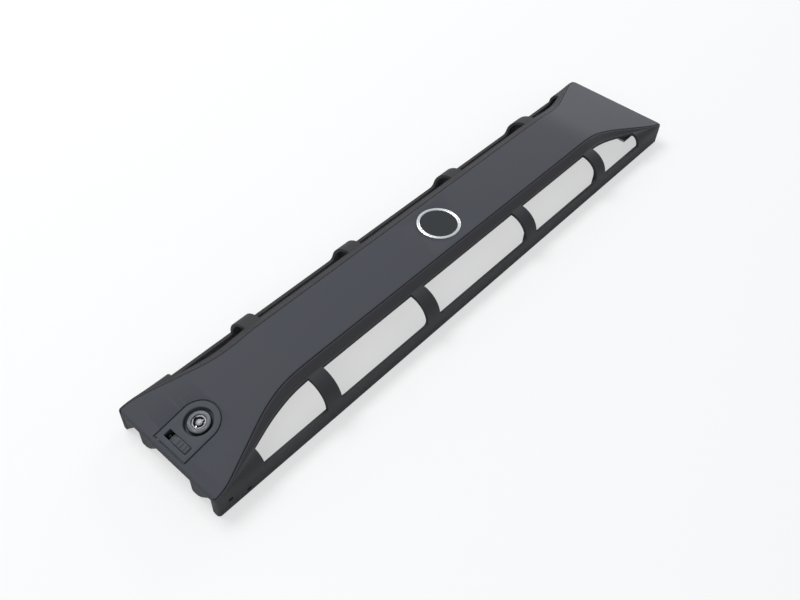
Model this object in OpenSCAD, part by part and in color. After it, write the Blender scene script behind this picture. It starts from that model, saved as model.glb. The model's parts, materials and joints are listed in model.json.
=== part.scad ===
// Server front bezel for a 2U chassis: a moulded frame with open windows above and below a
// flat band, a cover panel over the band and the two sloping end facets, a round badge, a key
// lock and a sprung release latch in the left facet, and a hook plate behind the right one.
// Frame of the model: the back rim lies on Z = 0, the front faces +Z, +Y is the top edge and
// the lock is at the -X end. The origin is under the middle of the bezel.

/* [Overall] */
// Length from end to end
bezel_l = 468; // [450:1:484]
// Height from the bottom edge to the top edge
bezel_h = 87; // [85:0.5:92]
// Depth from the back rim to the front of the band
band_z = 34.3; // [32:0.1:38]
// Depth from the back rim to the front at the two ends
end_z = 17.2; // [16.4:0.1:19]

/* [Front outline] */
// Height of the cover panel along the band
band_h = 41.6; // [38:0.2:46]
// Length of each sloping end facet
facet_l = 79; // [74:1:86]
// Half the length over which the band bends into a facet
bend_soft = 12; // [6:1:14]
// Distance from the end to where the flared edge would leave the band
flare_l = 61.4; // [58:0.2:64]
// Half the length of the curve where the flare begins
flare_soft = 16; // [8:1:16]
// Distance from the end to where the flared edge reaches its full height
flare_end = 7.9; // [7:0.1:9]
// Half the length of the curve where the flare ends
flare_end_soft = 6; // [3:0.5:6.5]
// Radius of the four upright corners
corner_r = 2; // [1.5:0.1:2.5]

/* [Walls] */
// Thickness of the cover panel
panel_t = 1.8; // [1.6:0.1:2.2]
// Thickness of the deck that carries the panel
deck_t = 1.8; // [1.6:0.1:2.2]
// Thickness of the frame's outer walls and struts
wall_t = 2.2; // [1.8:0.1:2.6]
// Gap all round the cover panel
panel_gap = 0.3; // [0.2:0.05:0.5]
// Width of the narrow lip round the cover panel
lip_w = 0.9; // [0.6:0.1:1.2]
// How far the lip lies below the panel's face
lip_drop = 0.6; // [0.4:0.1:0.9]
// Chamfer round the panel's face
panel_chamfer = 0.6; // [0.3:0.1:0.8]
// Width of the bevel beside the band
bevel_w = 5; // [4:0.2:6]
// Fall of the bevel across its width
bevel_drop = 3.4; // [2.5:0.1:4.5]

/* [Windows] */
// Height of the top and bottom rails
rail_z = 12.9; // [11.5:0.1:14]
// Width of each strut
strut_w = 11.5; // [9:0.5:13]
// Distance of the inner struts from the middle
strut_in_x = 53.5; // [50:0.5:57]
// Distance of the outer struts from the middle
strut_out_x = 144; // [140:0.5:148]
// Radius of the windows' corners at the rails
window_r = 4; // [2:0.5:6]
// Length of the closed block at each end
end_block_l = 34.6; // [33:0.2:36]
// Width of the plain edge left between the bevel and a window
window_lip = 0.6; // [0.4:0.1:1]

/* [Ribs] */
// Thickness of the ribs
rib_t = 1.8; // [1.4:0.1:2.2]
// Depth of the ribs behind the struts
rib_d = 4; // [3:0.5:5]
// Height of the two long ribs from the middle of the band
long_rib_y = 17; // [16:0.5:18]

/* [Left end wall] */
// Top of the cut-outs between the lobes
notch_z = 13.2; // [12:0.1:13.4]
// Height of the bottom of the two lobes above the back rim
lobe_z = 1.6; // [1:0.1:3]
// Width of each lobe at its root
lobe_w = 17; // [15:0.5:18]
// Upper side of the upper lobe
lobe_top_y = 24.6; // [24:0.2:26]
// Upper side of the lower lobe
lobe_low_y = -20.4; // [-22:0.2:-19.5]
// Width of the wall left in the bottom corner
corner_wall = 3.5; // [3:0.1:3.8]
// Where the slant of the upper corner's wall begins, from the middle
slant_y = 28; // [26.5:0.5:30]
// Width of the catches' holes in the side walls
catch_w = 3; // [2.5:0.1:3.5]
// Height of the catches' holes
catch_h = 2.4; // [2:0.1:2.8]
// Distance of the lower catch's hole from the end
catch_low_x = 22; // [20:0.5:24]
// Height of the lower catch's hole above the back rim
catch_low_z = 2.6; // [2:0.1:3]
// Distance of the upper catch's hole from the end
catch_high_x = 9.5; // [8:0.5:11]
// Height of the upper catch's hole above the back rim
catch_high_z = 7.2; // [6:0.1:8]

/* [Badge] */
// Outer diameter of the badge ring
badge_d = 30.4; // [28:0.2:32]
// Width of the badge ring
badge_ring_w = 2.2; // [1.6:0.1:2.6]
// Height of the ring above the panel
badge_proud = 0.7; // [0.4:0.1:1]
// Depth of the badge's seat in the panel
badge_seat = 0.8; // [0.6:0.1:1]

/* [Lock housing] */
// Distance of the lock's centre from the left end
lock_inset = 24.7; // [24.4:0.1:25.4]
// Radius of the round end of the escutcheon
esc_r = 12.8; // [12.6:0.1:13.4]
// Length from the lock's centre to the flat side of the escutcheon
esc_l = 21.6; // [21:0.1:21.8]
// Thickness of the escutcheon's face
esc_t = 2.2; // [1.8:0.1:2.4]
// Gap round the escutcheon
esc_gap = 0.35; // [0.25:0.05:0.5]
// Thickness of the housing's side walls
house_t = 1.5; // [1.2:0.1:1.7]
// Depth of the housing behind the facet
house_d = 11; // [10.8:0.1:11.3]
// Thickness of the housing's flange
flange_t = 2; // [1.6:0.1:2.2]
// How far the flange stands out behind the deck
flange_grow = 3; // [2.6:0.1:3.4]
// Place of the lower pair of ears along the slope
ear_low_x = -15.5; // [-16:0.5:-14.5]
// Place of the upper pair of ears along the slope
ear_high_x = 5.5; // [4:0.5:6]
// Diameter of the pocket round the lock's head
pocket_d = 18.2; // [17.6:0.2:18.8]
// Width of the shadow groove round the escutcheon
groove_w = 0.9; // [0.7:0.1:1.1]
// Depth of the shadow groove in the panel
groove_d = 0.8; // [0.6:0.1:1]

/* [Key lock] */
// Diameter of the lock's head
lock_head_d = 14.6; // [14:0.1:15]
// Thickness of the lock's head
lock_head_t = 2.6; // [2.4:0.1:2.8]
// How far the head lies below the escutcheon's face
lock_sink = 0.5; // [0.3:0.1:0.7]
// Diameter of the lock's threaded body
lock_body_d = 12; // [11.6:0.1:12.4]
// Diameter of the turning plug
plug_d = 8.7; // [8.2:0.1:9]
// Turning clearance round the plug
plug_gap = 0.05; // [0.04:0.01:0.08]
// Outer diameter of the round keyway
key_d = 6.8; // [6.4:0.1:7]
// Diameter of the post in the keyway
post_d = 4.2; // [3.8:0.1:4.4]
// Depth of the keyway
key_depth = 5; // [4:0.5:6]
// Number of pins round the keyway
pin_count = 7; // [5:1:8]
// Diameter of the pins
pin_d = 0.9; // [0.7:0.05:1]
// Length of the pins that stands in the keyway
pin_l = 2.6; // [2:0.1:3.4]
// Outer diameter of the washer behind the lock
washer_d = 16; // [15:0.5:17]
// Width across the flats of the lock's nut
nut_af = 15; // [14.5:0.5:16]
// Length of the cam from the lock's axis
cam_l = 17; // [15:0.5:18]
// Width of the cam's tongue
cam_w = 8; // [7:0.5:9]
// Thickness of the cam
cam_t = 1.6; // [1.4:0.1:1.8]

/* [Release latch] */
// Distance of the latch slot from the lock's centre
slot_x = 15.7; // [15.5:0.1:16]
// Width of the latch slot
slot_w = 5.1; // [4.9:0.1:5.3]
// Length of the latch slot
slot_l = 18.9; // [18.7:0.1:19.4]
// Travel of the latch
latch_travel = 5; // [4:0.5:5]
// Length of the button
button_l = 10.6; // [9.6:0.2:10.8]
// How far the button stands out of the escutcheon
button_proud = 0.8; // [0.4:0.1:1.2]
// Running clearance of the latch
latch_gap = 0.3; // [0.25:0.05:0.35]
// Thickness of the slider's plate
slider_t = 2; // [1.8:0.1:2.2]
// Thickness of the steel hook
hook_t = 1.2; // [1:0.1:1.3]
// Depth of the hook's tip behind the facet
hook_depth = 17; // [16:0.2:17.2]
// Outer diameter of the spring
spring_d = 3.4; // [3:0.1:3.5]
// Diameter of the spring wire
spring_wire = 0.5; // [0.4:0.05:0.55]
// Number of turns of the spring
spring_turns = 8; // [7:1:9]

/* [Hook plate] */
// Thickness of the sheet
sheet_t = 1.5; // [1.2:0.1:1.8]
// Height of the plate above the back rim
plate_z = 7; // [6.5:0.1:7.5]
// Length of the plate along the bezel
plate_l = 22; // [20:0.5:24]
// Width of the plate across the bezel
plate_w = 58; // [54:1:62]
// Width of each hook
claw_w = 9; // [8:0.5:10]
// Distance of the hooks from the middle
claw_y = 22; // [20:0.5:23]
// Distance of the plate from the end wall's outer face
plate_inset = 8; // [7:0.5:9]
// Distance of the posts from the end
post_inset = 18; // [16.5:0.5:19.5]
// Distance of the posts from the middle
post_y = 12; // [10:0.5:14]
// Diameter of the hole in the middle of the plate
plate_hole_d = 8; // [6:0.5:9]

/* [Fasteners] */
// Diameter of the screws' heads
head_d = 6; // [5.8:0.1:6.4]
// Thickness of the screws' heads
head_t = 1.3; // [1.1:0.1:1.4]
// Diameter of the screws' shanks
shank_d = 2.4; // [2.2:0.1:2.5]
// Clearance of a shank in its hole, across the diameter
shank_gap = 0.1; // [0.06:0.02:0.2]
// Diameter of the bosses that take the screws
boss_d = 4.2; // [4:0.1:4.4]
// Distance of the inner band screws from the middle
screw_in_x = 26; // [24:1:30]
// Distance of the outer band screws from the middle
screw_out_x = 98; // [90:1:106]
// Height of the band screws from the middle
screw_y = 10.5; // [9:0.5:12]
// Distance of the right facet's screws up the slope from the lock's mirrored place
facet_screw_x = 5; // [4:0.5:8]
// Height of the right facet's screws from the middle
facet_screw_y = 24; // [22:0.5:25]
// How far the screws' threads reach into the panel
thread_in = 0.9; // [0.7:0.1:1]
// Depth of a screw's hole in a post or a boss
hole_depth = 6; // [5:0.5:6]
// Length of a screw's thread in a post or a boss
thread_l = 4; // [3:0.5:4.5]

/* [Hidden] */
$fn = 64;
e = 0.02;          // overlap of a cut with the air beyond a face
join = 0.3;        // overlap of two shapes that are one moulding

end_x = bezel_l / 2;
half_h = bezel_h / 2;
bend_x = end_x - facet_l;
flare_x = end_x - flare_l;
full_x = end_x - flare_end;
edge_max = half_h - lip_w - 0.5;
face_slope = (band_z - end_z) / facet_l;
flare_slope = (edge_max - band_h / 2) / (flare_l - flare_end);
tilt = atan(face_slope);
arc_steps = 6;
station_count = 9;
corner_steps = 2;

// A kink at d = 0 between a level line and a slope of 1, softened over s on either side
function ramp(d, s) = d <= -s ? 0 : d >= s ? d : pow(d + s, 2) / (4 * s);

// Front face, and half the width of the panel's seat, at a distance x along the bezel
function face_z(x) = band_z - face_slope * ramp(abs(x) - bend_x, bend_soft);
function seat_y(x) = band_h / 2
    + flare_slope * (ramp(abs(x) - flare_x, flare_soft) - ramp(abs(x) - full_x, flare_end_soft));

// How far the rounded upright corners have drawn in at x, for a solid that ends at x_end
function corner_in(x, x_end) =
    abs(x) <= x_end - corner_r ? 0
    : corner_r - sqrt(max(0, pow(corner_r, 2) - pow(abs(x) - x_end + corner_r, 2)));

// Places along the bezel where a loft has a section: none in the straight middle
straight_x = min(bend_x - bend_soft, flare_x - flare_soft);
function stations(x_end) =
    let (half = concat(
        [for (i = [0 : station_count])
            straight_x + (x_end - corner_r - straight_x) * i / station_count],
        [for (i = [1 : corner_steps]) x_end - corner_r + corner_r * sin(90 * i / corner_steps)]))
    concat([for (i = [len(half) - 1 : -1 : 0]) -half[i]], half);

// Edges of the lip and of the bevel. Both run out towards the ends, where the wall is upright
function lip_y(x) = seat_y(x) + lip_w;
function bevel_share(x) = (half_h - lip_y(x)) / (half_h - band_h / 2 - lip_w);
function bevel_y(x) = lip_y(x) + bevel_w * bevel_share(x);
function bevel_z(x) = face_z(x) - lip_drop - bevel_drop * bevel_share(x);

// One side of the frame's section: up the rail, round the strut, across the bevel and the lip.
// depth is how far the curve lies inside the outer surface
function shoulder(x, depth) = [
    for (i = [0 : arc_steps])
    let (a = 90 * i / arc_steps)
    [min(bevel_y(x) + (half_h - bevel_y(x) - depth) * cos(a), half_h - depth),
     rail_z + (bevel_z(x) - rail_z - depth) * sin(a)]];
function outer_side(x) = concat([[half_h, 0]], shoulder(x, 0), [
    [lip_y(x), face_z(x) - lip_drop],
    [seat_y(x), face_z(x) - lip_drop],
    [seat_y(x), face_z(x) - panel_t]]);
function inner_side(x, depth) =
    let (curve = shoulder(x, depth), from = curve[arc_steps],
        to = [min(seat_y(x), half_h - depth) - 1, face_z(x) - panel_t - deck_t - depth + wall_t])
    concat([[half_h - depth, 0]], curve, [for (i = [1 : 3]) from + (to - from) * i / 3]);
function mirrored(side) = concat(side, [for (i = [len(side) - 1 : -1 : 0]) [-side[i].x, side[i].y]]);
function reversed(list) = [for (i = [len(list) - 1 : -1 : 0]) list[i]];
function ring_at(x, profile, d) = [for (p = profile) [x, p.x - sign(p.x) * d, p.y]];

// Solid skinned over sections that run towards +X, each anticlockwise as seen from +X. The first
// half of a section runs beside its second half, so strips between the two close the ends
module loft(rings) {
    n = len(rings[0]);
    last = len(rings) - 1;
    sides = [for (i = [0 : last - 1]) for (j = [0 : n - 1])
        let (a = i * n + j, b = i * n + (j + 1) % n)
        each [[a, a + n, b + n], [a, b + n, b]]];
    caps = [for (j = [0 : n / 2 - 2])
        let (a = j, b = j + 1, c = n - 2 - j, d = n - 1 - j, m = last * n)
        each concat([[a, b, d], [b + m, a + m, d + m]],
            b == c ? [] : [[b, c, d], [c + m, b + m, d + m]])];
    polyhedron([for (ring = rings) each ring], concat(sides, caps), convexity = 12);
}

// The frame's skin: one arched wall over the whole length, open at the back and at both ends
module frame_skin() {
    loft([for (x = stations(end_x))
        ring_at(x, concat(mirrored(outer_side(x)), reversed(mirrored(inner_side(x, wall_t)))),
            corner_in(x, end_x))]);
}

// Both sides of the bezel, top and bottom
module both_sides() {
    children();
    mirror([0, 1, 0]) children();
}

module both_ends() {
    children();
    mirror([1, 0, 0]) children();
}

// Upright profile in Y and Z, drawn out by t along X about x
module slab_at(x, t) {
    translate([x - t / 2, 0, 0]) rotate([90, 0, 90]) linear_extrude(t) children();
}

// Rectangular window between two struts, open above the rail, with round corners at the rail
module window_cut(x_from, x_to) {
    y_from = bevel_y(0) + window_lip;
    translate([0, half_h + 1, 0]) rotate([90, 0, 0]) linear_extrude(half_h + 1 - y_from) {
        translate([x_from, rail_z + window_r]) square([x_to - x_from, band_z]);
        translate([x_from + window_r, rail_z]) square([x_to - x_from - 2 * window_r, window_r + 1]);
        for (x = [x_from + window_r, x_to - window_r])
            translate([x, rail_z + window_r]) circle(window_r);
    }
}

// Tapering window beside a facet. Its slanted side follows the edge of the bevel
end_window_x = end_x - end_block_l;
end_window_from = strut_out_x + strut_w / 2;
end_window_steps = 8;
module end_window_cut() {
    span = end_window_x - end_window_from;
    edge = [for (i = [0 : end_window_steps])
        let (x = end_window_from + span * i / end_window_steps) [x, bevel_y(x) + window_lip]];
    translate([0, 0, rail_z]) linear_extrude(band_z)
        polygon(concat(edge, [[end_window_x, half_h + 1], [end_window_from, half_h + 1]]));
}

module windows() {
    edge = strut_w / 2;
    both_sides() {
        window_cut(-strut_in_x + edge, strut_in_x - edge);
        both_ends() {
            window_cut(strut_in_x + edge, strut_out_x - edge);
            end_window_cut();
        }
    }
}

// Arch of ribs behind a pair of struts and across the band between them
module arch_rib(x) {
    slab_at(x, rib_t) difference() {
        polygon(mirrored(inner_side(x, wall_t - join)));
        polygon(mirrored(inner_side(x, wall_t + rib_d)));
        translate([-half_h, -1]) square([bezel_h, 1 + lobe_z]);
    }
}

deck_back = band_z - panel_t - deck_t;
module long_ribs() {
    both_sides() translate([-strut_out_x, long_rib_y - rib_t / 2, deck_back - rib_d])
        cube([2 * strut_out_x, rib_t, rib_d + join]);
}

// Plain wall that closes an end, set in a little from the rim
end_set_in = 0.2;
lobe_toe = 3;
module end_wall() {
    x = end_x - wall_t / 2 - end_set_in;
    slab_at(x, wall_t) difference() {
        polygon(mirrored(inner_side(x, wall_t - join)));
        children();
    }
}

// Cut-outs in the left end wall, in Y and Z. They leave two lobes, upright above and slanted
// below, a slanted wall in the top corner and a narrow one in the bottom corner
module end_notches() {
    low = half_h - corner_r;
    high = notch_z + 1;
    difference() {
        translate([-low, -1]) square([2 * low, notch_z + 1]);
        for (top = [lobe_top_y, lobe_low_y]) polygon([
            [top, high], [top, lobe_z], [top - lobe_w / 4, lobe_z],
            [top - lobe_w / 2, lobe_z + lobe_toe], [top - lobe_w, high]]);
        polygon([[slant_y, high], [low + 1, high], [low + 1, -2], [low, -2]]);
        translate([-low - 1, -2]) square([corner_wall + 1, high + 2]);
    }
}

// Small square catches' holes through the side walls by the lock
module catch_holes() {
    both_sides() for (place = [[catch_low_x, catch_low_z], [catch_high_x, catch_high_z]])
        translate([-end_x + place.x - catch_w / 2, half_h - wall_t - join, place.y])
            cube([catch_w, wall_t + 2 * join, catch_h]);
}

// Local frame on a facet: origin on its face, +X up the slope towards the band, +Z outwards
lock_x = -end_x + lock_inset;
module on_left_facet() {
    translate([lock_x, 0, face_z(lock_x)]) rotate([0, -tilt, 0]) children();
}
module on_right_facet() {
    mirror([1, 0, 0]) on_left_facet() children();
}

// Outline of the escutcheon: round towards the band, square towards the end
module esc_outline(grow = 0, flat_grow = 0) {
    circle(esc_r + grow);
    translate([-esc_l - flat_grow, -esc_r - grow])
        square([esc_l + flat_grow, 2 * (esc_r + grow)]);
}

module esc_opening() {
    on_left_facet() translate([0, 0, -house_d]) linear_extrude(house_d + 2)
        esc_outline(esc_gap, esc_gap);
}
module esc_groove() {
    on_left_facet() translate([0, 0, -groove_d]) linear_extrude(groove_d + 2)
        esc_outline(groove_w, groove_w);
}

// Screws that clamp the deck to the bosses behind the panel
band_screws = [for (x = [-screw_out_x, -screw_in_x, screw_in_x, screw_out_x])
    for (y = [-screw_y, screw_y]) [x, y]];
facet_screws = [for (y = [-facet_screw_y, facet_screw_y]) [facet_screw_x, y]];
ear_y = esc_r + flange_grow + 2.2;
ear_places = [for (x = [ear_low_x, ear_high_x]) for (y = [-ear_y, ear_y]) [x, y]];
boss_gap = 0.3;
boss_short = 0.1;
hole_gap = 0.4;
seat_z = -panel_t - deck_t;

module at_band(places) {
    for (p = places) translate([p.x, p.y, band_z]) children();
}
module at_left_facet(places) {
    on_left_facet() for (p = places) translate([p.x, p.y, 0]) children();
}
module at_right_facet(places) {
    on_right_facet() for (p = places) translate([p.x, p.y, 0]) children();
}
module at_every_boss() {
    at_band(band_screws) children();
    at_left_facet(ear_places) children();
    at_right_facet(facet_screws) children();
}

// Pan head screw with its head's bearing face on z = 0 and its shank towards +Z
module screw(length) {
    translate([0, 0, -head_t]) cylinder(d = head_d, h = head_t);
    translate([0, 0, -e]) cylinder(d = shank_d, h = length + e);
}

// Posts that carry the hook plate, hung from the deck of the right facet
post_x = end_x - post_inset;
post_top = face_z(post_x) - panel_t;
module hook_posts() {
    for (y = [-post_y, post_y]) translate([post_x, y, plate_z + sheet_t]) difference() {
        cylinder(d = boss_d + 1, h = post_top - plate_z - sheet_t - 1);
        translate([0, 0, -e]) cylinder(d = shank_d + shank_gap, h = hole_depth - 1);
    }
}

// Slots in the right end wall for the tips of the hooks, in Y and Z
module claw_slots() {
    for (side = [-1, 1]) translate([side * claw_y - claw_w / 2 - 1, -1])
        square([claw_w + 2, plate_z]);
}

stud_x = 8;
stud_d = 2.4;
stud_out = 1.8;
stud_gap = 0.2;
module badge_stud_holes() {
    for (x = [-stud_x, stud_x]) translate([x, 0, deck_back - join])
        cylinder(d = stud_d + 2 * stud_gap, h = panel_t + deck_t + 2 * join);
}

module frame() {
    color("#14161a") {
        difference() {
            union() {
                frame_skin();
                end_wall() claw_slots();
                mirror([1, 0, 0]) end_wall() end_notches();
            }
            windows();
            catch_holes();
            esc_opening();
            badge_stud_holes();
            at_every_boss() translate([0, 0, seat_z - 1])
                cylinder(d = boss_d + 2 * boss_gap, h = deck_t + 1 + join);
        }
        both_ends() for (x = [strut_in_x, strut_out_x]) arch_rib(x);
        long_ribs();
        hook_posts();
    }
}

// Half width of the cover panel, and its end
panel_x = end_x - 0.2;
function panel_side(x) = [
    [seat_y(x) - panel_gap, face_z(x) - panel_t],
    [seat_y(x) - panel_gap, face_z(x) - panel_chamfer],
    [seat_y(x) - panel_gap - panel_chamfer, face_z(x)]];

pilot = thread_in + 0.2;
badge_gap = 0.15;
module front_panel() {
    color("#232833") difference() {
        union() {
            loft([for (x = stations(panel_x))
                ring_at(x, mirrored(panel_side(x)), corner_in(x, panel_x))]);
            at_every_boss() translate([0, 0, seat_z + boss_short])
                cylinder(d = boss_d, h = deck_t - boss_short + join);
        }
        esc_opening();
        esc_groove();
        badge_stud_holes();
        translate([0, 0, band_z - badge_seat]) cylinder(d = badge_d + 2 * badge_gap, h = 2);
        at_every_boss() translate([0, 0, seat_z - 1])
            cylinder(d = shank_d + shank_gap, h = deck_t + 1 + pilot);
    }
}

module panel_screws() {
    color("#8d9094") {
        at_band(band_screws) translate([0, 0, seat_z]) screw(deck_t + thread_in);
        at_right_facet(facet_screws) translate([0, 0, seat_z]) screw(deck_t + thread_in);
    }
}

module badge_ring() {
    inner = badge_d / 2 - badge_ring_w;
    high = badge_seat + badge_proud;
    color("#d9dbde") translate([0, 0, band_z - badge_seat]) rotate_extrude()
        translate([inner, 0]) {
            square([badge_ring_w, high - badge_ring_w / 4]);
            translate([badge_ring_w / 4, 0]) square([badge_ring_w / 2, high]);
            for (x = [badge_ring_w / 4, badge_ring_w * 3 / 4])
                translate([x, high - badge_ring_w / 4]) circle(badge_ring_w / 4);
        }
}

module badge_disc() {
    r = badge_d / 2 - badge_ring_w - 0.05;
    color("#1b1e25") {
        translate([0, 0, band_z - badge_seat]) cylinder(r = r, h = badge_seat + 0.1);
        for (x = [-stud_x, stud_x]) translate([x, 0, deck_back - stud_out])
            cylinder(d = stud_d, h = band_z - badge_seat - deck_back + stud_out + e);
    }
}

push_nut_d = 6.4;
push_nut_t = 0.5;
module badge_push_nuts() {
    color("#a9abad") for (x = [-stud_x, stud_x]) translate([x, 0, deck_back - push_nut_t])
        difference() {
            cylinder(d = push_nut_d, h = push_nut_t);
            translate([0, 0, -1]) cylinder(d = stud_d + 0.04, h = 2);
        }
}

// Everything below is drawn in the local frame of the left facet
pocket_floor = -lock_sink - lock_head_t;
pad_t = 3;
pad_back = pocket_floor - pad_t;
cover_t = 1.5;
cover_ear_y = esc_r + 3.2;
cover_ear_x = -9;
cover_nose = [esc_r - 0.3, esc_r * 0.74];
cover_ears = [[cover_ear_x, -cover_ear_y], [cover_ear_x, cover_ear_y], cover_nose];
ear_rim = 0.8;
ear_d = head_d + 2 * ear_rim;
pocket_wall = 1;

slider_top = -esc_t - latch_gap;
slider_back = slider_top - slider_t;
inner_y = esc_r - house_t;
slider_l = 2 * inner_y - latch_travel - 2 * latch_gap;
slider_from = -inner_y + latch_gap;
slider_w = 2 * (esc_l - house_t - slot_x - latch_gap);
button_from = -slot_l / 2 + latch_gap;
shelf_to = slot_l / 2 - latch_travel - latch_gap;
leg_w = 6;
leg_y = -2.5;
hook_tip = 4.6;
spring_z = slider_back - hook_t - spring_d / 2 - 0.3;
stub_l = 2;
stub_d = spring_d - 2 * spring_wire - 0.4;

// Flat body that keeps the lock from turning in its seat
module lock_body_outline(gap = 0) {
    intersection() {
        circle(d = lock_body_d + 2 * gap);
        square([lock_body_d + 1, lock_body_d - 1.4 + 2 * gap], center = true);
    }
}

module ear(place, thick) {
    translate([place.x, place.y, 0]) cylinder(d = ear_d, h = thick);
}

module lock_housing() {
    color("#2b2f38") on_left_facet() difference() {
        union() {
            translate([0, 0, -house_d]) linear_extrude(house_d) esc_outline();
            translate([0, 0, seat_z - flange_t]) {
                linear_extrude(flange_t) esc_outline(flange_grow);
                for (p = ear_places) ear(p, flange_t);
                for (p = cover_ears) ear(p, flange_t);
            }
            for (p = cover_ears) translate([p.x, p.y, -house_d])
                cylinder(d = boss_d, h = house_d + seat_z - e);
        }
        // Room for the slider and the spring
        translate([-esc_l + house_t, -inner_y, -house_d - 1])
            cube([esc_l - house_t - pocket_d / 2 - pocket_wall, 2 * inner_y, house_d + 1 - esc_t]);
        // Room for the nut behind the lock's seat
        translate([0, 0, -house_d - 1]) cylinder(r = inner_y, h = house_d + 1 + pad_back);
        // Pocket for the lock's head and the way through for its body
        translate([0, 0, pocket_floor]) cylinder(d = pocket_d, h = 10);
        translate([0, 0, -house_d]) linear_extrude(house_d) lock_body_outline(0.1);
        // Slot for the button
        translate([-slot_x - slot_w / 2, -slot_l / 2, -esc_t - 1]) cube([slot_w, slot_l, esc_t + 2]);
        for (p = ear_places) translate([p.x, p.y, seat_z - flange_t - 1])
            cylinder(d = shank_d + hole_gap, h = flange_t + 2);
        for (p = cover_ears) translate([p.x, p.y, -house_d - 1])
            cylinder(d = shank_d + shank_gap, h = hole_depth);
    }
    // Stub that centres the spring on the upper wall
    color("#2b2f38") on_left_facet() translate([-slot_x, inner_y + join, spring_z])
        rotate([90, 0, 0]) cylinder(d = stub_d, h = stub_l + join);
}

module housing_screws() {
    color("#8d9094") at_left_facet(ear_places) translate([0, 0, seat_z - flange_t])
        screw(flange_t + deck_t + thread_in);
}

module latch_cover() {
    slot_from = leg_y - hook_tip - 0.6;
    slot_to = leg_y + hook_t + latch_travel + 0.4;
    color("#1d2026") on_left_facet() translate([0, 0, -house_d - cover_t]) difference() {
        union() {
            linear_extrude(cover_t) esc_outline();
            for (p = cover_ears) ear(p, cover_t);
        }
        translate([0, 0, -1]) cylinder(d = lock_body_d + 1.4, h = cover_t + 2);
        translate([-slot_x - leg_w / 2 - 0.5, slot_from, -1])
            cube([leg_w + 1, slot_to - slot_from, cover_t + 2]);
        for (p = cover_ears) translate([p.x, p.y, -1]) cylinder(d = shank_d + hole_gap, h = cover_t + 2);
    }
}

module latch_cover_screws() {
    color("#8d9094") at_left_facet(cover_ears) translate([0, 0, -house_d - cover_t])
        screw(cover_t + thread_l);
}

barrel_back = -house_d - cover_t - 0.4;
module lock_barrel() {
    color("#6f7175") on_left_facet() difference() {
        union() {
            translate([0, 0, pocket_floor]) cylinder(d = lock_head_d, h = lock_head_t - 0.4);
            translate([0, 0, -lock_sink - 0.4])
                cylinder(d1 = lock_head_d, d2 = lock_head_d - 0.8, h = 0.4);
            translate([0, 0, barrel_back]) linear_extrude(pocket_floor - barrel_back + e)
                lock_body_outline();
        }
        translate([0, 0, barrel_back - 1])
            cylinder(d = plug_d + 2 * plug_gap, h = -barrel_back + 2);
    }
}

washer_t = 0.8;
nut_t = 2.4;
module lock_washer() {
    color("#a9abad") on_left_facet() translate([0, 0, pad_back - washer_t]) difference() {
        cylinder(d = washer_d, h = washer_t);
        translate([0, 0, -1]) cylinder(d = lock_body_d + 0.3, h = washer_t + 2);
    }
}

module lock_nut() {
    color("#b3a46a") on_left_facet() translate([0, 0, pad_back - washer_t - nut_t]) difference() {
        cylinder(d = nut_af / cos(30), h = nut_t, $fn = 6);
        translate([0, 0, -1]) cylinder(d = lock_body_d + 0.1, h = nut_t + 2);
    }
}

plug_front = -lock_sink - 0.4;
cam_front = -house_d - cover_t - head_t - 0.5;
square_w = 5;
module lock_plug() {
    color("#8a8c8f") on_left_facet() {
        difference() {
            translate([0, 0, cam_front]) cylinder(d = plug_d, h = plug_front - cam_front);
            // Round keyway with its notch, round a middle post
            translate([0, 0, plug_front - key_depth]) difference() {
                union() {
                    cylinder(d = key_d, h = key_depth + 1);
                    translate([-0.8, 0, 0]) cube([1.6, key_d / 2 + 0.6, key_depth + 1]);
                }
                cylinder(d = post_d, h = key_depth - 0.3);
            }
            translate([0, 0, cam_front - 1]) cylinder(d = shank_d + shank_gap, h = hole_depth);
        }
        // Square tail that turns the cam
        translate([0, 0, cam_front - cam_t + 0.1]) difference() {
            translate([-square_w / 2, -square_w / 2, 0]) cube([square_w, square_w, cam_t]);
            translate([0, 0, -1]) cylinder(d = shank_d + shank_gap, h = cam_t + 2);
        }
    }
}

module lock_pins() {
    ring_r = (key_d + post_d) / 4;
    color("#c9a45a") on_left_facet() for (i = [0 : pin_count - 1])
        rotate(90 + 180 / pin_count + 360 * i / pin_count)
            translate([ring_r, 0, plug_front - key_depth]) cylinder(d = pin_d, h = pin_l);
}

// The cam points down when it is locked and swings towards the band when it is unlocked
hub_r = 6;
module lock_cam() {
    color("#b9bbbe") on_left_facet() translate([0, 0, cam_front - cam_t]) difference() {
        linear_extrude(cam_t) {
            circle(hub_r);
            translate([-cam_w / 2, -cam_l + cam_w / 2]) square([cam_w, cam_l - cam_w / 2]);
            translate([0, -cam_l + cam_w / 2]) circle(d = cam_w);
        }
        translate([-square_w / 2 - 0.05, -square_w / 2 - 0.05, -1])
            cube([square_w + 0.1, square_w + 0.1, cam_t + 2]);
    }
}

cam_washer_t = 0.6;
cam_washer_d = 8;
module cam_washer() {
    color("#a9abad") on_left_facet() translate([0, 0, cam_front - cam_t - cam_washer_t])
        difference() {
            cylinder(d = cam_washer_d, h = cam_washer_t);
            translate([0, 0, -1]) cylinder(d = shank_d + 0.3, h = cam_washer_t + 2);
        }
}

module cam_screw() {
    color("#8d9094") on_left_facet() translate([0, 0, cam_front - cam_t - cam_washer_t])
        screw(cam_t + cam_washer_t + thread_l);
}

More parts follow.
